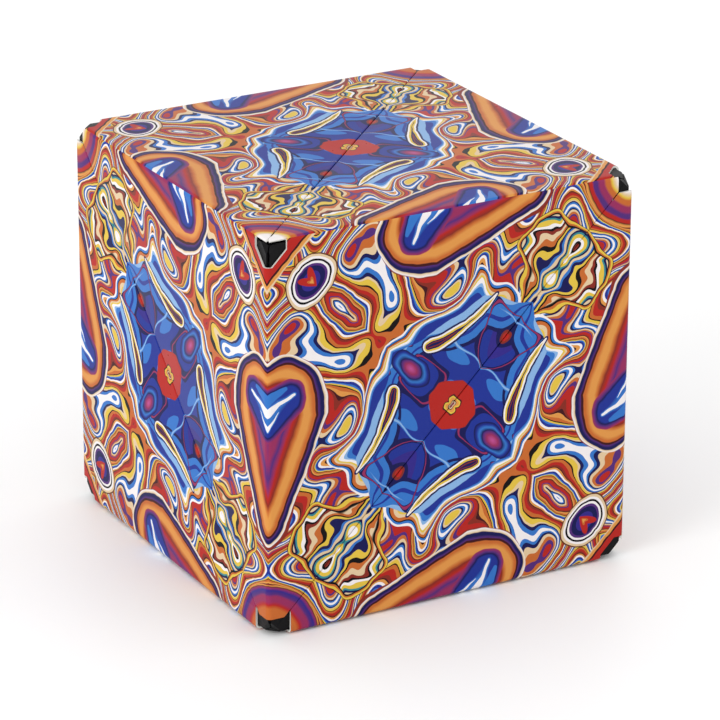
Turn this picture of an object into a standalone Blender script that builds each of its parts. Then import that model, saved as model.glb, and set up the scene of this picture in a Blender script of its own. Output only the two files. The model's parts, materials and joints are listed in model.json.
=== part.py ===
"""Shape-shifting magnetic puzzle cube: twelve hollow wedges in a closed ring.

Each wedge is a tetrahedron made of half of one cube face and the cube's
centre.  A wedge is a plastic tray with a lid, three disc magnets on a carrier
and a wrap of printed film.  A strip of film along each cube edge hinges one
wedge to the next, so the ring has twelve hinges.  The cube stands closed on
its lower face, with its origin at the centre of that face.
"""

import math

import bmesh
import bpy
from mathutils import Matrix, Vector

MM = 0.001

# Driving dimensions, in metres
EDGE = 57.0 * MM            # cube edge over the printed film
FILM = 0.3 * MM             # printed film
FIT = 0.1 * MM              # film to plastic, and lid to tray
HALF_GAP = 0.2 * MM         # wedge face to the plane it shares with its neighbour
STRIP_GAP = 0.05 * MM       # hinge strip to film wrap
PIVOT_DEPTH = 1.0 * MM      # hinge axis below both outer faces
FILM_CLIP = 3.6 * MM        # corner of the cube left open by the film
CORE_CLIP = 3.1 * MM        # corner of the cube cut off the plastic
TIP_FILM = 3.2 * MM         # film left off at the cube's centre
TIP_CORE = 1.8 * MM         # plastic left off at the cube's centre
WALL = 1.8 * MM             # tray wall
LID = 1.5 * MM              # lid plate
RIM_WALL = 0.8 * MM         # locating rim under the lid
RIM_DEPTH = 1.3 * MM
RIM_FIT = 0.2 * MM          # rim to tray
RIM_LAP = 0.4 * MM          # rim runs into the plate by this
MAGNET_RADIUS = 4.0 * MM
MAGNET_THICK = 2.0 * MM
POCKET_DEPTH = 1.0 * MM
POCKET_FIT = 0.25 * MM
POCKET_CUTTER = 3.0 * MM    # length of the bar that cuts a pocket
ARM_RADIUS = 1.0 * MM
ARM_SHORT = 1.0 * MM        # arm stops this far under a magnet's inner face
HUB_RADIUS = 2.0 * MM
HINGE_CLIP = 3.8 * MM       # hinge strip stops this far from the cube's corners
HINGE_ARC = math.radians(78.0)
OPEN_ARC = math.radians(56.0)   # strip at the pivot where the ring is opened
OVERSHOOT = 5.0 * MM        # a cutter stands out of the face it opens by this
HINGE_STEPS = 6
ROUND_STEPS = 14
ARM_STEPS = 6
HUB_STEPS = (8, 6)
TOLERANCE = 1e-8

# Offsets that follow from them
SIDE = PIVOT_DEPTH + STRIP_GAP
CORE_OUT = FILM + FIT
CORE_IN = HALF_GAP + FILM + FIT
CORE_SIDE = SIDE + FILM + FIT
CAVITY_IN = CORE_IN + WALL
LID_UNDER = CORE_OUT + LID
TRAY_TOP = LID_UNDER + FIT

# Cube corners: T top, B bottom; F front, R right, L left, B back
CORNERS = {
    "TF": (0, 0, 1), "TR": (1, 0, 1), "TL": (0, 1, 1), "TB": (1, 1, 1),
    "BF": (0, 0, 0), "BR": (1, 0, 0), "BL": (0, 1, 0), "BB": (1, 1, 0),
}
# The ring in order: right-angled corner of each half face, then its other two
RING = [
    ("TF", "TL", "BF"), ("TF", "BF", "TR"), ("TR", "TF", "TB"), ("TR", "TB", "BR"),
    ("BR", "TR", "BF"), ("BR", "BF", "BB"), ("BB", "BR", "TB"), ("BB", "TB", "BL"),
    ("BL", "BB", "BF"), ("BL", "BF", "TL"), ("TL", "BL", "TB"), ("TL", "TB", "TF"),
]
COUNT = len(RING)
BASE = 5            # this wedge lies on the table and carries the others
OPEN_HINGE = 6      # hinge between ring places 6 and 7 is left open


# ---------------------------------------------------------------- scene

def clear_scene():
    for obj in list(bpy.data.objects):
        bpy.data.objects.remove(obj, do_unlink=True)


def collection(name, hidden=False):
    made = bpy.data.collections.new(name)
    bpy.context.scene.collection.children.link(made)
    made.hide_render = hidden
    return made


def material(name, color, roughness, metallic=0.0, coat=0.0):
    made = bpy.data.materials.new(name)
    made.use_nodes = True
    shader = made.node_tree.nodes["Principled BSDF"]
    shader.inputs["Base Color"].default_value = (*color, 1.0)
    shader.inputs["Roughness"].default_value = roughness
    shader.inputs["Metallic"].default_value = metallic
    shader.inputs["Coat Weight"].default_value = coat
    return made


def helper(name, bm):
    mesh = bpy.data.meshes.new(name)
    bm.to_mesh(mesh)
    bm.free()
    obj = bpy.data.objects.new(name, mesh)
    HELPERS.objects.link(obj)
    obj.hide_render = True
    obj.display_type = "WIRE"
    return obj


def combine(obj, other, operation):
    boolean = obj.modifiers.new(operation.title(), "BOOLEAN")
    boolean.operation = operation
    boolean.object = other
    boolean.solver = "EXACT"


def baked(obj, name):
    """The object's evaluated mesh, to be shared by the twelve copies."""
    graph = bpy.context.evaluated_depsgraph_get()
    graph.update()
    mesh = bpy.data.meshes.new_from_object(obj.evaluated_get(graph))
    mesh.name = name
    return mesh


# ------------------------------------------------------- canonical wedge
# Half face in z = 0 with its right angle at the origin and its legs along x
# and y; the cube's centre is at (EDGE / 2, EDGE / 2, -EDGE / 2).

NORMAL_X = Vector((0.0, 1.0, 1.0)).normalized()     # into the wedge, face on leg x
NORMAL_Y = Vector((1.0, 0.0, 1.0)).normalized()     # into the wedge, face on leg y
NORMAL_S = Vector((-1.0, -1.0, 0.0)).normalized()   # into the wedge, face on the slit
LONG_X = Vector((EDGE, 0.0, 0.0))
LONG_Y = Vector((0.0, EDGE, 0.0))
CENTRE = Vector((0.5, 0.5, -0.5)) * EDGE


def keep(bm, point, inward):
    """Cuts away what lies behind a plane and closes the cut."""
    geometry = bm.verts[:] + bm.edges[:] + bm.faces[:]
    cut = bmesh.ops.bisect_plane(
        bm, geom=geometry, dist=TOLERANCE, plane_co=point, plane_no=inward, clear_inner=True
    )
    edges = [item for item in cut["geom_cut"] if isinstance(item, bmesh.types.BMEdge)]
    if edges:
        bmesh.ops.contextual_create(bm, geom=edges)


def clip_corners(bm, size):
    for corner, inward in (
        (Vector((0, 0, 0)), Vector((1, 1, -1))),
        (LONG_X, Vector((-1, 1, -1))),
        (LONG_Y, Vector((1, -1, -1))),
    ):
        keep(bm, corner + inward * (size / 3), inward.normalized())


def wedge(top, inner, side=0.0, clip=0.0, tip=0.0, bottom=None):
    """A wedge cut back from its outer face, inner faces, hinge edges and corners."""
    bm = bmesh.new()
    bmesh.ops.create_cube(bm, size=4 * EDGE)
    keep(bm, Vector((0, 0, -top)), Vector((0, 0, -1)))
    keep(bm, NORMAL_X * inner, NORMAL_X)
    keep(bm, NORMAL_Y * inner, NORMAL_Y)
    keep(bm, LONG_X + NORMAL_S * inner, NORMAL_S)
    if side:
        keep(bm, Vector((0, side, 0)), Vector((0, 1, 0)))
        keep(bm, Vector((side, 0, 0)), Vector((1, 0, 0)))
    if clip:
        clip_corners(bm, clip)
    if tip:
        keep(bm, CENTRE + Vector((0, 0, tip)), Vector((0, 0, 1)))
    if bottom is not None:
        keep(bm, Vector((0, 0, -bottom)), Vector((0, 0, 1)))
    bmesh.ops.recalc_face_normals(bm, faces=bm.faces)
    return bm


def rod(start, end, radius, steps):
    """A round bar between two points."""
    bm = bmesh.new()
    bmesh.ops.create_cone(
        bm, cap_ends=True, segments=steps, radius1=radius, radius2=radius,
        depth=(end - start).length,
    )
    turn = (end - start).to_track_quat("Z", "Y").to_matrix().to_4x4()
    bmesh.ops.transform(bm, matrix=Matrix.Translation((start + end) / 2) @ turn, verts=bm.verts)
    return bm


def face_centres():
    """(centre, inward normal) of the three inner faces."""
    return (
        ((LONG_X + CENTRE) / 3, NORMAL_X),
        ((LONG_Y + CENTRE) / 3, NORMAL_Y),
        ((LONG_X + LONG_Y + CENTRE) / 3, NORMAL_S),
    )


def hub_centre():
    """The point as far from the outer face as from the three inner ones."""
    radius = EDGE / (2 + 3 * math.sqrt(2))
    level = radius * (1 + math.sqrt(2))
    return Vector((level, level, -radius))


def skin_mesh():
    body = helper("skin_body", wedge(0.0, HALF_GAP, SIDE, FILM_CLIP, TIP_FILM))
    hollow = wedge(FILM, HALF_GAP + FILM, SIDE + FILM, CORE_CLIP / 2, TIP_CORE / 2)
    combine(body, helper("skin_hollow", hollow), "DIFFERENCE")
    return baked(body, "film_wrap")


def tray_mesh():
    body = helper("tray_body", wedge(TRAY_TOP, CORE_IN, CORE_SIDE, CORE_CLIP, TIP_CORE))
    combine(body, helper("tray_cavity", wedge(-OVERSHOOT, CAVITY_IN)), "DIFFERENCE")
    floor = CAVITY_IN - POCKET_DEPTH
    for index, (centre, normal) in enumerate(face_centres()):
        start = centre + normal * floor
        pocket = rod(start, start + normal * POCKET_CUTTER, MAGNET_RADIUS + POCKET_FIT, ROUND_STEPS)
        combine(body, helper(f"pocket_{index}", pocket), "DIFFERENCE")
    return baked(body, "tray")


def lid_mesh():
    plate = wedge(CORE_OUT, CORE_IN, CORE_SIDE, CORE_CLIP, bottom=LID_UNDER)
    rim = wedge(LID_UNDER - RIM_LAP, CAVITY_IN + RIM_FIT, bottom=LID_UNDER + RIM_DEPTH)
    rim = helper("rim_body", rim)
    inside = wedge(-OVERSHOOT, CAVITY_IN + RIM_FIT + RIM_WALL)
    combine(rim, helper("rim_inside", inside), "DIFFERENCE")
    body = helper("lid_body", plate)
    combine(body, rim, "UNION")
    return baked(body, "lid")


def magnets_mesh():
    hub = hub_centre()
    bm = bmesh.new()
    bmesh.ops.create_uvsphere(
        bm, u_segments=HUB_STEPS[0], v_segments=HUB_STEPS[1], radius=HUB_RADIUS
    )
    bmesh.ops.translate(bm, vec=hub, verts=bm.verts)
    body = helper("hub", bm)
    seat = CAVITY_IN - POCKET_DEPTH + FIT
    for index, (centre, normal) in enumerate(face_centres()):
        base = centre + normal * seat
        top = base + normal * MAGNET_THICK
        disc = helper(f"disc_{index}", rod(base, top, MAGNET_RADIUS, ROUND_STEPS))
        arm = helper(f"arm_{index}", rod(hub, top - normal * ARM_SHORT, ARM_RADIUS, ARM_STEPS))
        combine(body, arm, "UNION")
        combine(body, disc, "UNION")
    return baked(body, "magnets")


def strip_mesh(arc, name):
    """Film folded round the cube edge on leg x, tangent to the outer face."""
    bm = bmesh.new()
    ends = [bm.verts.new((x, PIVOT_DEPTH, 0.0)) for x in (HINGE_CLIP, EDGE - HINGE_CLIP)]
    edge = bm.edges.new(ends)
    bmesh.ops.spin(
        bm, geom=ends + [edge], axis=(1, 0, 0), cent=(0, PIVOT_DEPTH, -PIVOT_DEPTH),
        angle=arc, steps=HINGE_STEPS,
    )
    bm.normal_update()
    if bm.faces[:][0].normal.z < 0:
        bmesh.ops.reverse_faces(bm, faces=bm.faces)
    obj = helper(name, bm)
    solid = obj.modifiers.new("Solidify", "SOLIDIFY")
    solid.thickness = FILM
    solid.offset = -1.0
    return baked(obj, name)


# ------------------------------------------------------------- assembly

def corner(name):
    """A cube corner in the part's frame, z = 0 on the lower face."""
    x, y, z = CORNERS[name]
    return Vector(((x - 0.5) * EDGE, (y - 0.5) * EDGE, z * EDGE))


def wedge_frame(index):
    """Places the canonical wedge at a place of the ring, as a proper rotation."""
    right, one, two = (corner(name) for name in RING[index])
    x_axis, y_axis = (one - right).normalized(), (two - right).normalized()
    z_axis = x_axis.cross(y_axis)
    outward = right - Vector((0, 0, EDGE / 2))
    if z_axis.dot(outward) < 0:
        x_axis, y_axis = y_axis, x_axis
        z_axis = -z_axis
    turn = Matrix((x_axis, y_axis, z_axis)).transposed().to_4x4()
    return Matrix.Translation(right) @ turn


def shared_edge(index):
    """The two corners on the hinge between a place and the next."""
    following = RING[(index + 1) % COUNT]
    return [name for name in RING[index] if name in following]


def pivot(index):
    """Middle of a hinge axis, inside the cube edge by the pivot depth."""
    one, two = (corner(name) for name in shared_edge(index))
    middle = (one + two) / 2
    along = (two - one).normalized()
    inward = Vector((0, 0, EDGE / 2)) - middle
    inward -= along * inward.dot(along)
    return middle + inward.normalized() * PIVOT_DEPTH * math.sqrt(2)


def strip_frame(index, carrier):
    """The frame of a hinge strip: z out of the carrying wedge's face, y into it."""
    one, two = (corner(name) for name in shared_edge(index))
    z_axis = wedge_frame(carrier).to_3x3().col[2]
    along = (two - one).normalized()
    third = next(name for name in RING[carrier] if name not in shared_edge(index))
    y_axis = corner(third) - one
    y_axis = (y_axis - along * y_axis.dot(along)).normalized()
    x_axis = y_axis.cross(z_axis)
    start = one if (two - one).dot(x_axis) > 0 else two
    turn = Matrix((x_axis, y_axis, z_axis)).transposed().to_4x4()
    return Matrix.Translation(start) @ turn


def tree():
    """(wedge, the wedge that carries it, hinge) from the base outwards."""
    chain = [(BASE + 1, BASE, BASE)]
    for step in range(COUNT - len(chain) - 1):
        child = (BASE - 1 - step) % COUNT
        chain.append((child, (child + 1) % COUNT, child))
    return chain


def place(name, mesh, colour, frame, parent, origin):
    obj = bpy.data.objects.new(name, mesh)
    PARTS.objects.link(obj)
    obj.parent = parent
    obj.matrix_local = Matrix.Translation(-origin) @ frame
    if not obj.data.materials:
        obj.data.materials.append(colour)
    return obj


def pivot_empty(index, position, parent, parent_position):
    empty = bpy.data.objects.new(f"wedge_{index + 1:02d}_pivot", None)
    empty.empty_display_size = 5 * MM
    PARTS.objects.link(empty)
    empty.parent = parent
    empty.location = position - parent_position
    return empty


def build():
    meshes = {
        "tray": (tray_mesh(), PLASTIC),
        "lid": (lid_mesh(), PLASTIC),
        "magnets": (magnets_mesh(), NICKEL),
        "skin": (skin_mesh(), PRINT),
    }
    strip = strip_mesh(HINGE_ARC, "hinge_strip")
    short_strip = strip_mesh(OPEN_ARC, "open_hinge_strip")

    origin = Vector((0, 0, 0))
    pivots = {BASE: (pivot_empty(BASE, origin, None, origin), origin)}
    hinges = [(OPEN_HINGE, OPEN_HINGE)]
    for child, carrier, hinge in tree():
        above, above_position = pivots[carrier]
        position = pivot(hinge)
        pivots[child] = (pivot_empty(child, position, above, above_position), position)
        hinges.append((hinge, carrier))

    for index in range(COUNT):
        empty, position = pivots[index]
        frame = wedge_frame(index)
        for kind, (mesh, colour) in meshes.items():
            place(f"wedge_{index + 1:02d}_{kind}", mesh, colour, frame, empty, position)

    for hinge, carrier in hinges:
        empty, position = pivots[carrier]
        name = f"film_hinge_{hinge + 1:02d}_{(hinge + 1) % COUNT + 1:02d}"
        mesh = short_strip if hinge == OPEN_HINGE else strip
        place(name, mesh, PRINT, strip_frame(hinge, carrier), empty, position)


clear_scene()
PARTS = collection("shape_shifting_magnet_cube")
HELPERS = collection("cutters", hidden=True)
PRINT = material("printed_film", (0.55, 0.12, 0.06), 0.28, coat=0.4)
PLASTIC = material("black_abs", (0.012, 0.012, 0.013), 0.45)
NICKEL = material("nickel_magnets", (0.62, 0.60, 0.57), 0.25, metallic=1.0)
build()
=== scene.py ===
"""Looks of the magnetic folding puzzle cube: printed film wraps, film hinges,
black plastic shells, magnets, floor, light and camera."""

import json
import math

import bmesh
import bpy
from mathutils import Matrix, Vector

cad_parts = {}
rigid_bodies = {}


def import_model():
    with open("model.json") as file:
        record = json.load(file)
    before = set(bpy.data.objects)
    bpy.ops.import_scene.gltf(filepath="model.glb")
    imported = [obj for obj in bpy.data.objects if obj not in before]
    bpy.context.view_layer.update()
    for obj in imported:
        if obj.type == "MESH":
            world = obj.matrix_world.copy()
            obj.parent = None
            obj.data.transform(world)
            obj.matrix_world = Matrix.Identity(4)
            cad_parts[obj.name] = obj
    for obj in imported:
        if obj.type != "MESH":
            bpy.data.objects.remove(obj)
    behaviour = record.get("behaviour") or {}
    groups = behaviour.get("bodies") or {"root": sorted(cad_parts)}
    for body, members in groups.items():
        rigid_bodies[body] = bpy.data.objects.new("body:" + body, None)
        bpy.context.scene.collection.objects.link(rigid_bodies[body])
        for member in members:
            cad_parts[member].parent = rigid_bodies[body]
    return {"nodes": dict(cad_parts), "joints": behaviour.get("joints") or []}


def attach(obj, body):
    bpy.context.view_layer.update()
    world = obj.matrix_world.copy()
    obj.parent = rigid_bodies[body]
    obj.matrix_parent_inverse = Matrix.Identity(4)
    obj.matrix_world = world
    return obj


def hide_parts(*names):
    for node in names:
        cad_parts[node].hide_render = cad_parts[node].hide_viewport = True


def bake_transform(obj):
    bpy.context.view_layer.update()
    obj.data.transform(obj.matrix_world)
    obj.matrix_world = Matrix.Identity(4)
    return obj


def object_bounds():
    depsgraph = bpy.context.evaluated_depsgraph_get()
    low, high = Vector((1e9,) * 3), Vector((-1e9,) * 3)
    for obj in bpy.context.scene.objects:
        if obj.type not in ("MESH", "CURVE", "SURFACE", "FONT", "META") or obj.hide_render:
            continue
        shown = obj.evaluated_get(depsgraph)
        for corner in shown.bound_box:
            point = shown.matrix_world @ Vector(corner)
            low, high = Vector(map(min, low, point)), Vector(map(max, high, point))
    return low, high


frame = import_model()
CAD_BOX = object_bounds()

MM = 0.001
EDGE = CAD_BOX[1].x - CAD_BOX[0].x      # cube edge over the film
FILM = 0.3 * MM
PIVOT = 1.0 * MM                        # hinge axis below both outer faces
FLAT = 0.4 * MM                         # flat run of a hinge strip beside its fold
STRIP = PIVOT + FLAT                    # reach of a hinge strip on each face
WRAP_GAP = 0.02 * MM                    # film to the plane shared with the neighbour
SLIT_BOW = 0.04 * MM                    # further gap in the middle of a slit
BOW_REACH = 1.0 * MM                    # width of film drawn back by it
BOW_STEPS = 8
CORE_GAP = 0.05 * MM                    # plastic to film
BEND = 0.7 * MM                         # outer radius of a fold along a cube edge
BEND_STEPS = 12
STRIP_STEPS = 24                        # along a strip
INNER_ROUND = (0.9 * MM, 5)             # radius and steps: hidden folds of a wrap
SLIT_ROUND = (0.22 * MM, 4)             # and its fold into the slit
POLE_LEG = 3.85 * MM                    # film cut off a half face's right angle, on the leg
SIDE_LEG = 3.1 * MM                     # to its pole, on its other leg, and
SLANT = 4.75 * MM                       # between them, where that cut would meet both legs
SHARP_TIP = 2.5 * MM                    # film cut square off a half face's sharp corners
LOW_TIP = 3.5 * MM                      # at the lower front corner along the base
UPRIGHT_TIP = 2.7 * MM                  # and down the upright edge
LAPPED_TIP = 0.7 * MM                   # at the upper front corner
INNER_CLIP = 6.9 * MM                   # film cut off the hidden sides at every corner
WRAP_END = 3.0 * MM                     # film stops short of the cube's centre
CORE_CLIP = 3.1 * MM                    # corner of the cube cut off the plastic
BOSS = 6.6 * MM                         # plastic fills the film's place out from here
CORE_ROUND = {"offset": 0.25 * MM, "segments": 3}
CORE_END = 1.8 * MM                     # plastic stops short of the cube's centre
WALL = 1.8 * MM
LID = 1.5 * MM
LID_SEAT = 0.06 * MM                    # tray below lid
LID_CLIP = CORE_CLIP + 0.5 * MM         # corner of the cube cut off the lid's plate
RIM_GAP = 0.2 * MM                      # plug rim of the lid to the tray's wall
RIM_WALL = 0.8 * MM
RIM_ROOT = 0.4 * MM                     # rim starts inside the lid
RIM_DEPTH = 1.3 * MM
OVERSHOOT = 5.0 * MM                    # cutters past the surfaces they cut
TOUCH = 1e-8                            # points nearer than this are one
RIGHT_ANGLE = math.pi / 2

# Cube corners: T top, B bottom; F front, R right, L left, B back
CORNERS = {
    "TF": (0, 0, 1), "TR": (1, 0, 1), "TL": (0, 1, 1), "TB": (1, 1, 1),
    "BF": (0, 0, 0), "BR": (1, 0, 0), "BL": (0, 1, 0), "BB": (1, 1, 0),
}
# The ring of wedges: right-angled corner of each half face, then its other two
RING = [
    ("TF", "TL", "BF"), ("TF", "BF", "TR"), ("TR", "TF", "TB"), ("TR", "TB", "BR"),
    ("BR", "TR", "BF"), ("BR", "BF", "BB"), ("BB", "BR", "TB"), ("BB", "TB", "BL"),
    ("BL", "BB", "BF"), ("BL", "BF", "TL"), ("TL", "BL", "TB"), ("TL", "TB", "TF"),
]
POLES = {"BF", "TB"}                    # corners where six wedges meet
JOINED = {frozenset((j["parent"], j["child"])) for j in frame["joints"]}


# ------------------------------------------------------------- print

NOISE_MEAN, NOISE_GAIN = 0.5, 2.8
COS_45 = 0.70711
BLUR = 0.002                            # width of the step at a shape's edge


class Field:
    """A value in a node tree, with arithmetic that adds Math nodes."""

    tree = None

    def __init__(self, socket):
        self.socket = socket

    @classmethod
    def math(cls, operation, *values, clamp=False):
        node = cls.tree.nodes.new("ShaderNodeMath")
        node.operation = operation
        node.use_clamp = clamp
        for slot, value in zip(node.inputs, values):
            if isinstance(value, Field):
                cls.tree.links.new(value.socket, slot)
            else:
                slot.default_value = value
        return Field(node.outputs[0])

    def __add__(self, other):
        return Field.math("ADD", self, other)

    def __sub__(self, other):
        return Field.math("SUBTRACT", self, other)

    def __mul__(self, other):
        return Field.math("MULTIPLY", self, other)

    def __truediv__(self, other):
        return Field.math("DIVIDE", self, other)

    __radd__ = __add__
    __rmul__ = __mul__

    def __rsub__(self, other):
        return Field.math("SUBTRACT", other, self)

    def __neg__(self):
        return Field.math("MULTIPLY", self, -1.0)


def least(a, b):
    return Field.math("MINIMUM", a, b)


def most(a, b):
    return Field.math("MAXIMUM", a, b)


def size_of(a):
    return Field.math("ABSOLUTE", a)


def clamped(a):
    return Field.math("ADD", a, 0.0, clamp=True)


def length(a, b):
    return Field.math("SQRT", a * a + b * b)


def soft_least(a, b, reach):
    return Field.math("SMOOTH_MIN", a, b, reach)


def step_up(value, low, high):
    """0 below low, 1 above high, smooth between."""
    node = Field.tree.nodes.new("ShaderNodeMapRange")
    node.interpolation_type = "SMOOTHSTEP"
    Field.tree.links.new(value.socket, node.inputs["Value"])
    node.inputs["From Min"].default_value = low
    node.inputs["From Max"].default_value = high
    return Field(node.outputs["Result"])


def combined(a, b, c):
    node = Field.tree.nodes.new("ShaderNodeCombineXYZ")
    for slot, value in zip(node.inputs, (a, b, c)):
        if isinstance(value, Field):
            Field.tree.links.new(value.socket, slot)
        else:
            slot.default_value = value
    return node.outputs[0]


def noise(a, b, scale, seed):
    """Two fields of smooth noise about zero, each from about -1 to 1."""
    node = Field.tree.nodes.new("ShaderNodeTexNoise")
    node.noise_dimensions = "3D"
    Field.tree.links.new(combined(a, b, seed), node.inputs["Vector"])
    node.inputs["Scale"].default_value = scale
    node.inputs["Detail"].default_value = 0.0
    parts = Field.tree.nodes.new("ShaderNodeSeparateColor")
    Field.tree.links.new(node.outputs["Color"], parts.inputs[0])
    return tuple((Field(parts.outputs[k]) - NOISE_MEAN) * NOISE_GAIN for k in (0, 1))


def ramp(value, stops, soft=False):
    """A colour for a value from 0 to 1, held from each stop to the next or blended."""
    node = Field.tree.nodes.new("ShaderNodeValToRGB")
    Field.tree.links.new(value.socket, node.inputs[0])
    band = node.color_ramp
    band.interpolation = "LINEAR" if soft else "CONSTANT"
    while len(band.elements) < len(stops):
        band.elements.new(1.0)
    for element, (position, name) in zip(band.elements, stops):
        element.position = position
        element.color = (*INK[name], 1.0)
    return node.outputs[0]


def layer(under, over, amount):
    node = Field.tree.nodes.new("ShaderNodeMix")
    node.data_type = "RGBA"
    factor, first, second = node.inputs[0], node.inputs[6], node.inputs[7]
    Field.tree.links.new(amount.socket, factor)
    Field.tree.links.new(under, first)
    Field.tree.links.new(over, second)
    return node.outputs[2]


def inside(distance, edge, blur=BLUR):
    """1 where the distance is below the edge, 0 above it."""
    return step_up(-distance, -edge - blur, -edge)


def paint(under, level, stops, where, soft=False):
    """Lays a ramp over a colour, in one place."""
    return layer(under, ramp(clamped(level), stops, soft), where)


def srgb(code):
    """A colour written as in print, made linear."""
    values = [int(code[k:k + 2], 16) / 255 for k in (0, 2, 4)]
    return tuple(v / 12.92 if v <= 0.04045 else ((v + 0.055) / 1.055) ** 2.4 for v in values)


INK = {
    name: srgb(code)
    for name, code in {
        "navy": "12134a", "blue": "1d2e85", "azure": "316bb5", "sky": "7da3ce",
        "white": "e0dbdb", "cream": "d0b793", "yellow": "d0b040", "gold": "cc8a44",
        "orange": "b5602b", "red": "a6221c", "brick": "7b281e", "maroon": "3a1016",
        "dark": "0a0508", "purple": "4c286d", "magenta": "892a54", "pink": "ac4782",
        "teal": "337d85", "brown": "5b2f14", "violet": "2e247a",
    }.items()
}


def taper(a, b, start, end, wide, narrow):
    """Distance to a bar that narrows from one point to the other."""
    da, db = end[0] - start[0], end[1] - start[1]
    pa, pb = a - start[0], b - start[1]
    along = clamped((pa * da + pb * db) / (da * da + db * db))
    return length(pa - along * da, pb - along * db) - (wide + along * (narrow - wide))


def print_colour(tree, uv):
    """The kaleidoscopic marbling of a half face, from its two leg coordinates.

    Lengths are parts of the cube's edge, and each shape's outline is bent by noise.
    """
    Field.tree = tree
    parts = tree.nodes.new("ShaderNodeSeparateXYZ")
    tree.links.new(uv, parts.inputs[0])
    pole_leg, side_leg = Field(parts.outputs[0]), Field(parts.outputs[1])
    u, v = size_of(pole_leg), size_of(side_leg)
    # fold across the slit and across the half face's own mirror line
    slit = size_of(1.0 - u - v) * COS_45
    wide = size_of(u - v) * COS_45

    # warps: slow, middling, quick and fine
    n1, n2 = noise(slit, wide, 3.6, 3.7)
    m1, m2 = noise(slit, wide, 8.0, 8.1)
    q1, q2 = noise(slit, wide, 21.0, 5.4)
    z1, z2 = noise(slit, wide, 55.0, 6.6)
    s = slit + n1 * 0.012 + m1 * 0.010 + q1 * 0.0026 + z1 * 0.0009
    w = wide + n2 * 0.012 + m2 * 0.010 + q2 * 0.0026 + z2 * 0.0009
    along = (COS_45 - s + w) * COS_45        # along the nearer leg, from the right angle
    off = (COS_45 - s - w) * COS_45          # off that leg

    # distances to the main shapes, negative inside
    eye = length((s - 0.540) * 1.45, w) - 0.050
    drop = taper(along, off, (0.425, 0.030), (0.70, -0.010), 0.075, 0.004)
    drop = drop + n1 * 0.008 + m1 * 0.009
    medal = most(s + w * 0.36 - 0.200, w + s * 0.55 - 0.300) + m2 * 0.012
    rose = length(s * 0.9, w - 0.455) - 0.07
    rings = length(1.0 - along, off)
    tip = along + off

    # filling: bands that run round all of the shapes, stretched and folded by strong warps
    far = soft_least(soft_least(eye, drop, 0.04), soft_least(medal, rose, 0.04), 0.04)
    far = soft_least(far, rings - 0.045, 0.03)
    g1, g2 = noise(s + n1 * 0.06, w + n2 * 0.06, 4.6, 1.3)
    h1, h2 = noise(s + g1 * 0.10, w + g2 * 0.10, 6.0, 5.9)
    k1, k2 = noise(s + h1 * 0.06, w + h2 * 0.06, 5.0, 9.6)
    j1, j2 = noise(s + k1 * 0.05, w + k2 * 0.05, 12.0, 4.9)
    flow = h1 * 0.75 + k1 * 0.78 + (w + j2 * 0.04) * 2.0 + (s + j1 * 0.05) * 1.0
    colour = ramp(Field.math("FRACT", far * 4.0 + flow - 0.22), FILL)

    # tight curls on the slit
    c1, c2 = noise(s + h1 * 0.03, w + h2 * 0.03, 9.0, 2.2)
    d1, d2 = noise(s + c1 * 0.06, w + c2 * 0.06, 13.0, 7.2)
    curl = rose * 6.0 + (s + d1 * 0.055) * 6.0 + (w + d2 * 0.055) * 3.0 + c1 * 0.35
    bloom = rose - h1 * 0.055 - c1 * 0.030 - d2 * 0.008
    colour = paint(colour, (0.046 - bloom) * 20.0, CURL_RIM, inside(bloom, 0.044))
    colour = layer(colour, ramp(Field.math("FRACT", curl), CURL), inside(bloom, 0.032))

    # cool streams round the medallion
    halo = medal + h1 * 0.060 + k1 * 0.040 + j1 * 0.008
    colour = paint(colour, halo * 14.0, HALO, inside(halo, 0.061, 0.001))
    # the medallion, its rim, veins, threads and leaves
    e1, e2 = noise(s + g1 * 0.04, w + m2 * 0.04, 9.0, 4.4)
    body = inside(medal, 0.008)
    colour = paint(colour, e1 * 0.5 + 0.5 + medal * 1.2, MEDAL, body)
    rim = (-medal + 0.010) * 12.0 + e2 * 0.50 + j1 * 0.10
    colour = paint(colour, rim, RIM, body * inside(rim, 0.70, 0.02))
    vein = size_of(e2 + 0.30 + j2 * 0.10) * 4.5
    colour = paint(colour, vein, VEIN, inside(vein, 0.28, 0.02) * inside(medal, -0.03, 0.01))
    thread = size_of(e1 - 0.10 + j1 * 0.12) * 5.5
    colour = paint(colour, thread, THREAD, inside(thread, 0.22, 0.02) * body)
    bend = (along - 0.52) * (along - 0.52) * 1.8
    leaf = taper(along, off + bend, (0.62, 0.262), (0.44, 0.352), 0.000, 0.012)
    leaf = leaf + q1 * 0.003 + j2 * 0.004
    colour = paint(colour, (leaf + 0.014) * 34.0, LEAF, inside(leaf, 0.0085))
    # two kinds of spot, and the gem in the middle
    spot = length((s - 0.150) * 0.75, w * 1.3 + j1 * 0.004) - 0.020 + q2 * 0.004
    colour = paint(colour, (spot + 0.020) * 16.0, SPOT, inside(spot, 0.028), True)
    flame = length(s * 1.3, w - 0.205) - 0.020 + e1 * 0.012 + q1 * 0.006
    colour = paint(colour, (flame + 0.034) * 20.0, FLAME, inside(flame, 0.004))
    gem = most(most(s, w), (s + w) * 0.75) - 0.058 + m1 * 0.010 + q1 * 0.005
    colour = paint(colour, (gem + 0.058) * 15.0, GEM, inside(gem, -0.001))
    core = length(s * 1.3 + q2 * 0.010, w * 1.1 + q1 * 0.010) + z1 * 0.002
    colour = paint(colour, core * 30.0 + z1 * 0.06, HEART, inside(core, 0.026))

    # rings round the sharp corners, in other colours at a pole
    ring_at = clamped(rings * 6.2 + h1 * 0.03 + j1 * 0.02)
    at_pole = step_up(pole_leg - side_leg, -0.001, 0.001)
    both = layer(ramp(ring_at, RINGS, True), ramp(ring_at, POLE_RINGS, True), at_pole)
    colour = layer(colour, both, inside(rings + h2 * 0.012, 0.140))
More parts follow.
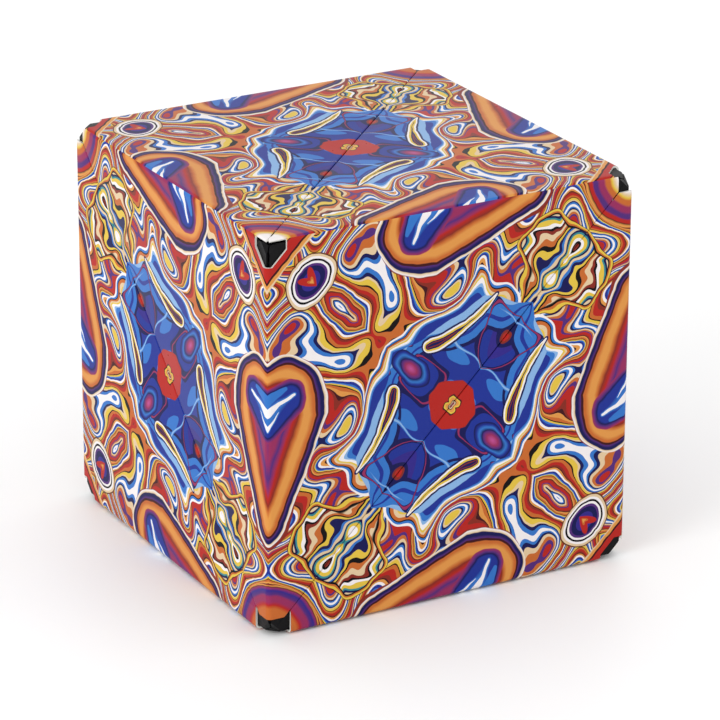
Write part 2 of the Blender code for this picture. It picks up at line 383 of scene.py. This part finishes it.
    # eye on the mirror line
    colour = paint(colour, (eye + 0.050) * 10.5, EYE, inside(eye, 0.032))
    iris = length(s - 0.530 - w * 1.2, w * 0.8) + q2 * 0.002
    colour = paint(colour, iris * 30.0, IRIS, inside(iris, 0.020))
    # drop on the leg, with its lens
    belly = (drop + 0.075) * 6.9 + m1 * 0.03 + h1 * 0.03 + q1 * 0.006
    colour = paint(colour, belly, DROP, inside(drop + h2 * 0.008, 0.064), True)
    lens = taper(along, off, (0.392, 0.070), (0.445, -0.01), 0.027, 0.046)
    lens = lens + q1 * 0.002 + m2 * 0.003
    colour = paint(colour, (lens + 0.040) * 13.0, LENS, inside(lens, 0.017), True)
    lobe = taper(along, off, (0.372, 0.060), (0.405, 0.0), 0.006, 0.013) + q1 * 0.003
    colour = paint(colour, lobe, LOBE, inside(lobe, -0.001))
    beam = taper(along, off, (0.385, 0.086), (0.435, -0.01), 0.001, 0.008) + q2 * 0.003
    ray = taper(along, off, (0.425, 0.042), (0.470, 0.0), 0.000, 0.006) + q1 * 0.003
    beam = least(beam, ray)
    colour = paint(colour, (beam + 0.012) * 30.0, BEAM, inside(beam, 0.003))
    # chevrons round the right angle
    chevron = tip * 5.0 + m2 * 0.03 + j1 * 0.02
    return paint(colour, chevron, TIP, inside(tip + h2 * 0.008 + m1 * 0.006, 0.135))


# Bands, each from its stop to the next
FILL = [
    (0.00, "white"), (0.05, "azure"), (0.09, "navy"), (0.125, "cream"), (0.145, "yellow"),
    (0.20, "dark"), (0.22, "orange"), (0.27, "red"), (0.33, "brick"), (0.37, "maroon"),
    (0.39, "gold"), (0.43, "white"), (0.48, "blue"), (0.53, "azure"), (0.56, "yellow"),
    (0.59, "dark"), (0.61, "orange"), (0.66, "gold"), (0.70, "maroon"), (0.72, "brick"),
    (0.75, "red"), (0.83, "purple"), (0.86, "orange"), (0.90, "cream"), (0.94, "navy"),
    (0.97, "azure"),
]
CURL = [
    (0.00, "yellow"), (0.10, "teal"), (0.16, "navy"), (0.23, "cream"), (0.34, "azure"),
    (0.41, "navy"), (0.48, "yellow"), (0.56, "dark"), (0.62, "orange"), (0.70, "cream"),
    (0.80, "brick"), (0.87, "dark"), (0.92, "white"),
]
CURL_RIM = [(0.00, "maroon"), (0.05, "yellow"), (0.13, "orange"), (0.19, "dark")]
HALO = [
    (0.00, "blue"), (0.08, "azure"), (0.20, "sky"), (0.27, "white"), (0.40, "yellow"),
    (0.48, "cream"), (0.56, "orange"), (0.66, "dark"), (0.70, "azure"), (0.78, "white"),
]
MEDAL = [
    (0.00, "azure"), (0.12, "blue"), (0.34, "navy"), (0.48, "blue"), (0.66, "violet"),
    (0.76, "navy"),
]
RIM = [(0.00, "sky"), (0.10, "azure"), (0.34, "blue"), (0.42, "azure"), (0.60, "navy")]
VEIN = [(0.00, "sky"), (0.14, "azure")]
THREAD = [(0.00, "magenta"), (0.12, "navy")]
LEAF = [
    (0.00, "navy"), (0.14, "brick"), (0.22, "navy"), (0.34, "yellow"), (0.50, "white"),
    (0.64, "navy"),
]
SPOT = [
    (0.00, "pink"), (0.22, "magenta"), (0.38, "purple"), (0.44, "navy"), (0.56, "azure"),
    (0.66, "blue"), (0.76, "navy"),
]
FLAME = [(0.00, "dark"), (0.16, "red"), (0.66, "brick")]
GEM = [(0.00, "red"), (0.84, "brick")]
HEART = [
    (0.00, "dark"), (0.16, "magenta"), (0.26, "cream"), (0.36, "dark"), (0.44, "gold"),
    (0.62, "yellow"), (0.72, "maroon"),
]
RINGS = [
    (0.00, "white"), (0.27, "white"), (0.32, "cream"), (0.36, "yellow"), (0.40, "orange"),
    (0.46, "orange"), (0.50, "magenta"), (0.58, "magenta"), (0.62, "purple"), (0.68, "purple"),
    (0.71, "red"), (0.76, "red"), (0.77, "maroon"), (0.80, "gold"), (0.84, "gold"),
    (0.86, "maroon"),
]
POLE_RINGS = [
    (0.00, "orange"), (0.44, "orange"), (0.50, "red"), (0.56, "magenta"), (0.64, "magenta"),
    (0.68, "purple"), (0.74, "violet"), (0.79, "magenta"), (0.80, "maroon"), (0.82, "gold"),
    (0.85, "gold"), (0.86, "maroon"),
]
EYE = [
    (0.00, "purple"), (0.20, "violet"), (0.34, "navy"), (0.50, "purple"), (0.57, "white"),
    (0.63, "dark"), (0.69, "white"), (0.76, "cream"), (0.83, "brown"),
]
IRIS = [(0.00, "gold"), (0.20, "orange"), (0.30, "red")]
DROP = [
    (0.00, "purple"), (0.10, "magenta"), (0.18, "magenta"), (0.26, "purple"), (0.33, "magenta"),
    (0.38, "red"), (0.45, "brick"), (0.50, "orange"), (0.56, "gold"), (0.66, "gold"),
    (0.73, "orange"), (0.76, "orange"), (0.77, "maroon"), (0.80, "maroon"), (0.81, "purple"),
    (0.85, "navy"), (0.89, "navy"), (0.90, "cream"), (0.94, "white"), (0.95, "brick"),
]
LENS = [
    (0.00, "azure"), (0.14, "azure"), (0.28, "blue"), (0.52, "blue"), (0.58, "navy"),
    (0.64, "purple"), (0.74, "magenta"),
]
LOBE = [(0.00, "azure")]
BEAM = [(0.00, "white"), (0.40, "azure")]
TIP = [
    (0.00, "cream"), (0.345, "brick"), (0.37, "gold"), (0.40, "maroon"), (0.42, "red"),
    (0.58, "maroon"), (0.61, "gold"), (0.66, "cream"),
]


# ---------------------------------------------------------- geometry
# Canonical wedge: half face in z = 0 with its right angle at the origin and
# its legs along x and y; the cube's centre is at (EDGE/2, EDGE/2, -EDGE/2).

NORMAL_X = Vector((0.0, 1.0, 1.0)).normalized()
NORMAL_Y = Vector((1.0, 0.0, 1.0)).normalized()
NORMAL_S = Vector((-1.0, -1.0, 0.0)).normalized()
LONG_X = Vector((EDGE, 0.0, 0.0))
LONG_Y = Vector((0.0, EDGE, 0.0))
CENTRE = Vector((0.5, 0.5, -0.5)) * EDGE
INNER = (NORMAL_X, NORMAL_Y, NORMAL_S)
UP = Vector((0.0, 0.0, 1.0))
FACING = 0.72                           # least cosine between a face and its side
# Corners of the half face, each with the direction into the cube
OUTER_CORNERS = (
    (Vector((0, 0, 0)), Vector((1, 1, -1))),
    (LONG_X, Vector((-1, 1, -1))),
    (LONG_Y, Vector((1, -1, -1))),
)


def split(bm, spot, inward, **options):
    return bmesh.ops.bisect_plane(
        bm, geom=bm.verts[:] + bm.edges[:] + bm.faces[:], dist=TOUCH,
        plane_co=spot, plane_no=inward, **options,
    )


def cut(bm, spot, inward):
    """Cuts away what lies behind a plane, and closes the hole."""
    made = split(bm, spot, inward, clear_inner=True)
    edges = [item for item in made["geom_cut"] if isinstance(item, bmesh.types.BMEdge)]
    if edges:
        bmesh.ops.contextual_create(bm, geom=edges)


def clip_corners(bm, size):
    for apex, inward in OUTER_CORNERS:
        cut(bm, apex + inward * (size / 3), inward.normalized())


def round_off(bm, edges, offset, segments):
    bmesh.ops.bevel(
        bm, geom=edges, offset=offset, segments=segments, profile=0.5,
        affect="EDGES", clamp_overlap=True,
    )


def square_cut(start, toward, axis, reach):
    """A cut across a corner, square to one leg."""
    inward = Vector((0, 0, 0))
    inward[axis] = toward[axis]
    return start + inward * reach, inward


def slanting_cut(start, toward, reach):
    """A cut across a corner that meets both legs at one reach."""
    return start + toward * (reach / 3), toward.normalized()


def trim(bm, planes, chosen=lambda face: True):
    """Deletes the chosen faces behind all of the planes, split along them."""
    for spot, inward in planes:
        split(bm, spot, inward)
    bm.normal_update()

    def behind(face):
        middle = face.calc_center_median()
        return all((middle - spot).dot(inward) < 0 for spot, inward in planes)

    doomed = [face for face in bm.faces if behind(face) and chosen(face)]
    bmesh.ops.delete(bm, geom=doomed, context="FACES")


def wedge(top, inner, side=0.0, bottom=None, slit=None):
    """Closed solid of a wedge, set back from its half face, from the planes shared with
    its neighbours (with its own value at the slit) and from the cube's other faces."""
    bm = bmesh.new()
    bmesh.ops.create_cube(bm, size=4 * EDGE)
    cut(bm, UP * -top, -UP)
    cut(bm, NORMAL_X * inner, NORMAL_X)
    cut(bm, NORMAL_Y * inner, NORMAL_Y)
    cut(bm, LONG_X + NORMAL_S * (inner if slit is None else slit), NORMAL_S)
    if side:
        cut(bm, Vector((0, side, 0)), Vector((0, 1, 0)))
        cut(bm, Vector((side, 0, 0)), Vector((1, 0, 0)))
    if bottom is not None:
        cut(bm, UP * -bottom, UP)
    bmesh.ops.recalc_face_normals(bm, faces=bm.faces)
    bm.normal_update()
    return bm


def facing(normal):
    """Which side of the wedge a normal belongs to: top, 0, 1 or 2 (inner), or side."""
    if normal.z > FACING:
        return "top"
    scores = [-normal.dot(inner) for inner in INNER]
    best = max(range(3), key=lambda k: scores[k])
    return best if scores[best] > FACING else "side"


def bevel_between(bm, kinds, offset, segments):
    """Rounds the edges between two kinds of side."""
    bm.normal_update()
    chosen = []
    for edge in bm.edges:
        if len(edge.link_faces) != 2:
            continue
        pair = {facing(face.normal) for face in edge.link_faces}
        if len(pair) == 2 and kinds(pair):
            chosen.append(edge)
    round_off(bm, chosen, offset, segments)


def leg_coordinates(p, kind):
    """Print coordinates of a point, as if the film were unfolded flat."""
    if kind == 0:
        return p.x / EDGE, -math.hypot(p.y, p.z) / EDGE
    if kind == 1:
        return -math.hypot(p.x, p.z) / EDGE, p.y / EDGE
    if kind == 2:
        beyond = 1.0 - math.sqrt(2) * p.z / EDGE
        across = (p.x - p.y) / EDGE
        return (beyond + across) / 2, (beyond - across) / 2
    return p.x / EDGE, p.y / EDGE


def unwrap(mesh, pole_on_y):
    """Print coordinates, with the leg to the pole first."""
    lay = mesh.uv_layers.new(name="print")
    for face in mesh.polygons:
        kind = facing(face.normal)
        if kind == "side":              # a rounded fold goes with the side it leans to
            kind = 2 if -face.normal.dot(NORMAL_S) > 0.5 else "top"
        for loop in face.loop_indices:
            p = mesh.vertices[mesh.loops[loop].vertex_index].co
            x, y = leg_coordinates(p, kind)
            lay.data[loop].uv = (y, x) if pole_on_y else (x, y)


def mesh_of(bm, name):
    mesh = bpy.data.meshes.new(name)
    bm.to_mesh(mesh)
    bm.free()
    return mesh


def evaluated(mesh, name, modify):
    """The mesh after the modifiers that modify() adds."""
    obj = bpy.data.objects.new(name, mesh)
    bpy.context.scene.collection.objects.link(obj)
    helpers = modify(obj) or []
    graph = bpy.context.evaluated_depsgraph_get()
    graph.update()
    made = bpy.data.meshes.new_from_object(obj.evaluated_get(graph))
    made.name = name
    for item in [obj, *helpers]:
        bpy.data.objects.remove(item, do_unlink=True)
    return made


def smooth(mesh, sharp_from=40.0):
    mesh.shade_smooth()
    mesh.set_sharp_from_angle(angle=math.radians(sharp_from))
    return mesh


def inward_shell(obj):
    solid = obj.modifiers.new("Solidify", "SOLIDIFY")
    solid.thickness = FILM
    solid.offset = -1.0
    solid.use_even_offset = True
    solid.material_offset = 1
    solid.material_offset_rim = 1


def film_from(bm, name):
    """Printed sheet with a white body, seen on its cut edges and its underside."""
    mesh = mesh_of(bm, name)
    mesh.materials.append(PRINT)
    mesh.materials.append(PAPER)
    return mesh


def bow_slit(bm):
    """Draws the film back from the slit, most in the middle."""
    for k in range(1, BOW_STEPS):
        across = EDGE * (2 * k / BOW_STEPS - 1)
        split(bm, Vector((across, 0, 0)), Vector((1, -1, 0)))
    for vert in bm.verts:
        behind = (vert.co - LONG_X).dot(NORMAL_S)
        if behind < BOW_REACH:
            middle = 1 - ((vert.co.x - vert.co.y) / EDGE) ** 2
            vert.co += NORMAL_S * (SLIT_BOW * middle ** 2 * (1 - behind / BOW_REACH))


def wrap_mesh(pole_on_y, tip_x, tip_y):
    """Film round a wedge: rounded folds, open at the clipped corners."""
    bm = wedge(0.0, WRAP_GAP, STRIP)
    bevel_between(bm, lambda pair: pair <= {0, 1, 2}, *INNER_ROUND)
    bevel_between(bm, lambda pair: pair == {"top", 2}, *SLIT_ROUND)
    bow_slit(bm)
    right, sharp_x, sharp_y = OUTER_CORNERS
    reach_x, reach_y = (SIDE_LEG, POLE_LEG) if pole_on_y else (POLE_LEG, SIDE_LEG)
    notch = [square_cut(*right, 0, reach_x), square_cut(*right, 1, reach_y)]
    trim(bm, [*notch, slanting_cut(*right, SLANT)])
    trim(bm, [square_cut(*sharp_x, 0, tip_x)])
    trim(bm, [square_cut(*sharp_y, 1, tip_y)])
    for place in OUTER_CORNERS:
        trim(bm, [slanting_cut(*place, INNER_CLIP)], lambda face: facing(face.normal) != "top")
    trim(bm, [(CENTRE + UP * WRAP_END, UP)])
    mesh = film_from(bm, "film_wrap")
    unwrap(mesh, pole_on_y)
    return smooth(evaluated(mesh, "film_wrap", inward_shell), sharp_from=35.0)


def subtract(obj, bm):
    other = bpy.data.objects.new("cutter", mesh_of(bm, "cutter"))
    bpy.context.scene.collection.objects.link(other)
    boolean = obj.modifiers.new("Boolean", "BOOLEAN")
    boolean.operation = "DIFFERENCE"
    boolean.solver = "EXACT"
    boolean.object = other
    return other


def unite(obj, bm):
    other = subtract(obj, bm)
    obj.modifiers[-1].operation = "UNION"
    return other


CORE_TOP = FILM + CORE_GAP
CORE_IN = WRAP_GAP + SLIT_BOW + FILM + CORE_GAP
HINGE_GAP = 0.08 * MM                   # lid corner to the plane shared across a hinge
CORE_SIDE = 0.72 * MM
LID_UNDER = CORE_TOP + LID


def moulded(bm, name, shape):
    """A plastic part from its plain body and the solids shape() adds or takes away."""
    round_off(bm, bm.edges[:], **CORE_ROUND)
    mesh = smooth(evaluated(mesh_of(bm, name), name, shape))
    mesh.materials.clear()
    mesh.materials.append(PLASTIC)
    return mesh


def tray_mesh():
    """Three walls, open under the lid."""
    bm = wedge(LID_UNDER + LID_SEAT, CORE_IN, CORE_SIDE)
    clip_corners(bm, CORE_CLIP)
    cut(bm, CENTRE + UP * CORE_END, UP)
    cavity = wedge(-OVERSHOOT, CORE_IN + WALL)
    return moulded(bm, "tray", lambda obj: [subtract(obj, cavity)])


def boss(apex, inward):
    """Corner of a lid that fills the film's place between the wedges."""
    bm = wedge(CORE_TOP, HINGE_GAP, CORE_SIDE, LID_UNDER, WRAP_GAP)
    clip_corners(bm, CORE_CLIP)
    cut(bm, apex + inward * (BOSS / 3), -inward.normalized())
    return bm


def lid_mesh():
    """Plate with a hollow rim that plugs into the tray, and a boss at each corner."""
    bm = wedge(CORE_TOP, CORE_IN, CORE_SIDE, LID_UNDER)
    clip_corners(bm, LID_CLIP)
    inset = CORE_IN + WALL + RIM_GAP
    rim = wedge(LID_UNDER - RIM_ROOT, inset, bottom=LID_UNDER + RIM_DEPTH)
    hollow = wedge(LID_UNDER, inset + RIM_WALL)

    def shape(obj):
        cutters = [unite(obj, rim), subtract(obj, hollow)]
        for place in OUTER_CORNERS:
            cutters.append(unite(obj, boss(*place)))
        return cutters

    return moulded(bm, "lid", shape)


def strip_mesh(near_first, far_first, near_tip, far_tip, half=None):
    """Film folded round the cube edge on leg x, from one wrap's edge to the next,
    or only the near or far half of it.

    A side comes first if its right angle is where the strip starts. Both do
    on an edge to a pole, and one does on the edges between.
    """
    bm = bmesh.new()
    lay = bm.loops.layers.uv.new("print")
    to_pole = near_first == far_first
    rows = [(STRIP, 0.0, STRIP)]            # y, z and the distance from the edge in print
    for k in range(BEND_STEPS + 1):
        angle = RIGHT_ANGLE * k / BEND_STEPS
        run = BEND * abs(1 - 2 * k / BEND_STEPS)
        rows.append((BEND * (1 - math.sin(angle)), BEND * (math.cos(angle) - 1), run))
    rows.append((0.0, -STRIP, STRIP))
    xs = [EDGE * k / STRIP_STEPS for k in range(STRIP_STEPS + 1)]
    grid = [[bm.verts.new((x, y, z)) for x in xs] for y, z, _ in rows]
    for r in range(len(rows) - 1):
        first = near_first if r < (len(rows) - 1) / 2 else far_first
        for c in range(STRIP_STEPS):
            face = bm.faces.new((grid[r][c], grid[r + 1][c], grid[r + 1][c + 1], grid[r][c + 1]))
            spots = ((r, c), (r + 1, c), (r + 1, c + 1), (r, c + 1))
            for loop, (rr, cc) in zip(face.loops, spots):
                along, run = cc / STRIP_STEPS, rows[rr][2] / EDGE
                if not first:
                    along = 1.0 - along
                loop[lay].uv = (along, run) if to_pole else (run, along)
    bm.normal_update()
    if bm.faces[:][0].normal.z < 0:
        bmesh.ops.reverse_faces(bm, faces=bm.faces)

    def near_side(face):
        middle = face.calc_center_median()
        return middle.y + middle.z > 0

    def far_side(face):
        return not near_side(face)

    start, end = OUTER_CORNERS[:2]
    for chosen, first, tip, into in (
        (near_side, near_first, near_tip, Vector((0, 1, 0))),
        (far_side, far_first, far_tip, Vector((0, 0, -1))),
    ):
        right, sharp = (start, end) if first else (end, start)
        if to_pole:
            trim(bm, [square_cut(*right, 0, POLE_LEG), slanting_cut(*right, SLANT)], chosen)
        else:
            trim(bm, [square_cut(*right, 0, SIDE_LEG)], chosen)
        trim(bm, [square_cut(*sharp, 0, tip)], chosen)
        slit = Vector((sharp[1].x, 0, 0)) - into
        trim(bm, [(sharp[0] + slit * WRAP_GAP, slit)], chosen)
    if half:
        other = far_side if half == "near" else near_side
        bmesh.ops.delete(bm, geom=[face for face in bm.faces if other(face)], context="FACES")
    return smooth(evaluated(film_from(bm, "fold"), "fold", inward_shell), sharp_from=50.0)


# ---------------------------------------------------------- assembly

def corner(name):
    x, y, z = CORNERS[name]
    low = CAD_BOX[0]
    return Vector((low.x + x * EDGE, low.y + y * EDGE, low.z + z * EDGE))


MIDDLE = (CAD_BOX[0] + CAD_BOX[1]) / 2


def following(index):
    return (index + 1) % len(RING)


def wedge_frame(index):
    """Places the canonical wedge at a place of the ring, as a proper rotation."""
    right, one, two = (corner(name) for name in RING[index])
    x_axis, y_axis = (one - right).normalized(), (two - right).normalized()
    z_axis = x_axis.cross(y_axis)
    if z_axis.dot(right - MIDDLE) < 0:
        x_axis, y_axis = y_axis, x_axis
        z_axis = -z_axis
    turn = Matrix((x_axis, y_axis, z_axis)).transposed().to_4x4()
    return Matrix.Translation(right) @ turn


def hinge_frame(index, carrier):
    """Frame of a hinge strip: z out of the carrier's face, y into that face."""
    shared = [name for name in RING[index] if name in RING[following(index)]]
    one, two = (corner(name) for name in shared)
    z_axis = wedge_frame(carrier).to_3x3().col[2]
    along = (two - one).normalized()
    third = next(name for name in RING[carrier] if name not in shared)
    y_axis = corner(third) - one
    y_axis = (y_axis - along * y_axis.dot(along)).normalized()
    x_axis = y_axis.cross(z_axis)
    start = one if (two - one).dot(x_axis) > 0 else two
    turn = Matrix((x_axis, y_axis, z_axis)).transposed().to_4x4()
    return Matrix.Translation(start) @ turn, shared


def add(name, mesh, place):
    obj = bpy.data.objects.new(name, mesh)
    bpy.context.scene.collection.objects.link(obj)
    obj.matrix_world = place
    return obj


def body_name(index):
    return f"wedge_{index + 1:02d}"


def pole_on_y(index):
    """Whether a wedge's corner at a pole lies on its y leg."""
    pole = next(name for name in RING[index] if name in POLES)
    y_axis = wedge_frame(index).to_3x3().col[1]
    return (corner(pole) - corner(RING[index][0])).dot(y_axis) > EDGE / 2


def tip_reach(index, name):
    """How far the film is cut back from one of a wedge's sharp corners."""
    if name == "TF":
        return LAPPED_TIP
    if name == "BF":
        return UPRIGHT_TIP if RING[index][0] == "TF" else LOW_TIP
    return SHARP_TIP


def name_at(spot):
    """The cube corner nearest to a point."""
    return min(CORNERS, key=lambda name: (corner(name) - spot).length)


def add_wedges():
    wraps = {}
    tray, lid = tray_mesh(), lid_mesh()
    for index in range(len(RING)):
        body, place = body_name(index), wedge_frame(index)
        key = (
            pole_on_y(index),
            tip_reach(index, name_at(place @ LONG_X)),
            tip_reach(index, name_at(place @ LONG_Y)),
        )
        if key not in wraps:
            wraps[key] = wrap_mesh(*key)
        pieces = (
            ("skin", wraps[key], "printed_film"),
            ("tray", tray, "black_plastic"),
            ("lid", lid, "black_plastic"),
        )
        for kind, mesh, slot in pieces:
            piece = add(f"{body}_{kind}_fine", mesh, place)
            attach(piece, body)
            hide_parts(f"{body}_{kind}")


def add_hinges():
    """Lays a strip across each joint; the open pivot's strip is split at its fold."""
    for index in range(len(RING)):
        near, far = index, following(index)
        numbers = f"{body_name(near)[-2:]}_{body_name(far)[-2:]}"
        place, shared = hinge_frame(near, near)
        to_pole = bool(POLES & set(shared))
        if to_pole and name_at(place.translation) != RING[near][0]:
            near, far = far, near
            place = hinge_frame(index, near)[0]
        start, end = name_at(place.translation), name_at(place @ LONG_X)
        sides = (near, far)
        firsts = [RING[side][0] == start for side in sides]
        tips = [tip_reach(side, end if first else start) for side, first in zip(sides, firsts)]
        bodies = [body_name(side) for side in sides]
        if frozenset(bodies) in JOINED:
            piece = add(f"fold_{numbers}", strip_mesh(*firsts, *tips), place)
            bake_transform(piece)
            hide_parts(f"film_hinge_{numbers}")
            continue
        for half, body in zip(("near", "far"), bodies):
            flap = add(f"{body}_flap", strip_mesh(*firsts, *tips, half), place)
            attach(flap, body)
            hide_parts(f"film_hinge_{numbers}")


# ---------------------------------------------------------- materials

def fine_noise(tree, scale, detail):
    place = tree.nodes.new("ShaderNodeTexCoord")
    node = tree.nodes.new("ShaderNodeTexNoise")
    node.inputs["Scale"].default_value = scale
    node.inputs["Detail"].default_value = detail
    tree.links.new(place.outputs["Object"], node.inputs["Vector"])
    return node.outputs["Fac"]


def surface(name, grain, dullness, **values):
    """A material whose roughness wanders between two values with a fine noise."""
    made = bpy.data.materials.new(name)
    made.use_nodes = True
    tree = made.node_tree
    shader = tree.nodes["Principled BSDF"]
    height = fine_noise(tree, *grain)
    spread = tree.nodes.new("ShaderNodeMapRange")
    spread.inputs["To Min"].default_value, spread.inputs["To Max"].default_value = dullness
    tree.links.new(height, spread.inputs["Value"])
    tree.links.new(spread.outputs["Result"], shader.inputs["Roughness"])
    for socket, value in values.items():
        shader.inputs[socket.replace("_", " ")].default_value = value
    return made, tree, shader, height


def bump(tree, shader, height, strength, distance):
    node = tree.nodes.new("ShaderNodeBump")
    node.inputs["Strength"].default_value = strength
    node.inputs["Distance"].default_value = distance
    tree.links.new(height, node.inputs["Height"])
    tree.links.new(node.outputs[0], shader.inputs["Normal"])


def printed_film():
    made, tree, shader, _ = surface(
        "printed_film", (220.0, 4.0), (0.24, 0.36),
        Coat_Weight=0.07, Coat_Roughness=0.10, Specular_IOR_Level=0.06,
    )
    uv = tree.nodes.new("ShaderNodeUVMap")
    uv.uv_map = "print"
    tree.links.new(print_colour(tree, uv.outputs[0]), shader.inputs["Base Color"])
    bump(tree, shader, fine_noise(tree, 90.0, 2.0), 0.25, 0.1 * MM)
    return made


def film_body():
    """White plastic sheet under the print."""
    made, tree, shader, _ = surface(
        "film_body", (900.0, 3.0), (0.35, 0.55), Base_Color=(0.66, 0.65, 0.61, 1.0)
    )
    bump(tree, shader, fine_noise(tree, 1500.0, 2.0), 0.2, 0.03 * MM)
    return made


def black_plastic():
    made, tree, shader, grain = surface(
        "black_plastic", (2600.0, 2.0), (0.22, 0.42),
        Base_Color=(0.004, 0.004, 0.0045, 1.0), Specular_IOR_Level=0.10,
    )
    bump(tree, shader, grain, 0.3, 0.03 * MM)
    return made


def nickel():
    return surface(
        "nickel", (1800.0, 2.0), (0.16, 0.30), Base_Color=(0.62, 0.60, 0.56, 1.0), Metallic=1.0
    )[0]


def floor_material():
    return surface("floor", (30.0, 3.0), (0.45, 0.55), Base_Color=(0.93, 0.93, 0.93, 1.0))[0]


# -------------------------------------------------------------- stage

FLOOR = 3.0                             # half width of the floor
FLOOR_GAP = 0.2 * MM                    # floor below the cube
SKY = 1.04                              # strength of the white surroundings
# Place from the middle of the cube, width and power of each light
LIGHTS = {
    "key": ((-0.95, -0.25, 0.40), 0.6, 4.2),
    "fill": ((0.45, -0.75, 0.55), 0.8, 0.8),
}
# Camera to the left of the front edge and above, with a long lens
TURN, LIFT, ROLL = (math.radians(angle) for angle in (29.42, 21.10, 0.15))
DISTANCE = 0.5803
LENS_LENGTH, SENSOR = 205.4, 36.0       # in millimetres, as Blender has them
SHIFT = (0.0152, -0.0296)
VIEW_RANGE = (0.01, 20.0)


def place_in_scene(name, data, spot, turn):
    obj = bpy.data.objects.new(name, data)
    bpy.context.scene.collection.objects.link(obj)
    obj.location = spot
    obj.rotation_mode = "QUATERNION"
    obj.rotation_quaternion = turn
    return obj


def add_floor():
    bm = bmesh.new()
    bmesh.ops.create_grid(bm, x_segments=1, y_segments=1, size=FLOOR)
    obj = bpy.data.objects.new("floor", mesh_of(bm, "floor"))
    bpy.context.scene.collection.objects.link(obj)
    obj.location = (0, 0, CAD_BOX[0].z - FLOOR_GAP)
    obj.data.materials.append(floor_material())


def add_light(name, spot, size, power):
    data = bpy.data.lights.new(name, "AREA")
    data.shape = "DISK"
    data.size = size
    data.energy = power
    place_in_scene(name, data, MIDDLE + Vector(spot), Vector(spot).to_track_quat("Z", "Y"))


def add_world():
    world = bpy.data.worlds.new("studio")
    bpy.context.scene.world = world
    world.use_nodes = True
    back = world.node_tree.nodes["Background"]
    back.inputs["Color"].default_value = (1.0, 1.0, 1.0, 1.0)
    back.inputs["Strength"].default_value = SKY


def add_camera():
    level = math.cos(LIFT)
    back = Vector((-math.sin(TURN) * level, -math.cos(TURN) * level, math.sin(LIFT)))
    data = bpy.data.cameras.new("camera")
    data.sensor_width, data.lens = SENSOR, LENS_LENGTH
    data.shift_x, data.shift_y = SHIFT
    data.clip_start, data.clip_end = VIEW_RANGE
    look = (-back).to_track_quat("-Z", "Y").to_matrix() @ Matrix.Rotation(ROLL, 3, "Z")
    spot = MIDDLE + back * DISTANCE
    bpy.context.scene.camera = place_in_scene("camera", data, spot, look.to_quaternion())


PRINT = printed_film()
PAPER = film_body()
PLASTIC = black_plastic()
NICKEL = nickel()
add_wedges()
add_hinges()
for node_name, node in frame["nodes"].items():
    if node_name.endswith("_magnets"):
        node.data.materials.clear()
        node.data.materials.append(NICKEL)
add_floor()
add_world()
for light_name, setting in LIGHTS.items():
    add_light(light_name, *setting)
add_camera()
bpy.context.scene.view_settings.view_transform = "Standard"
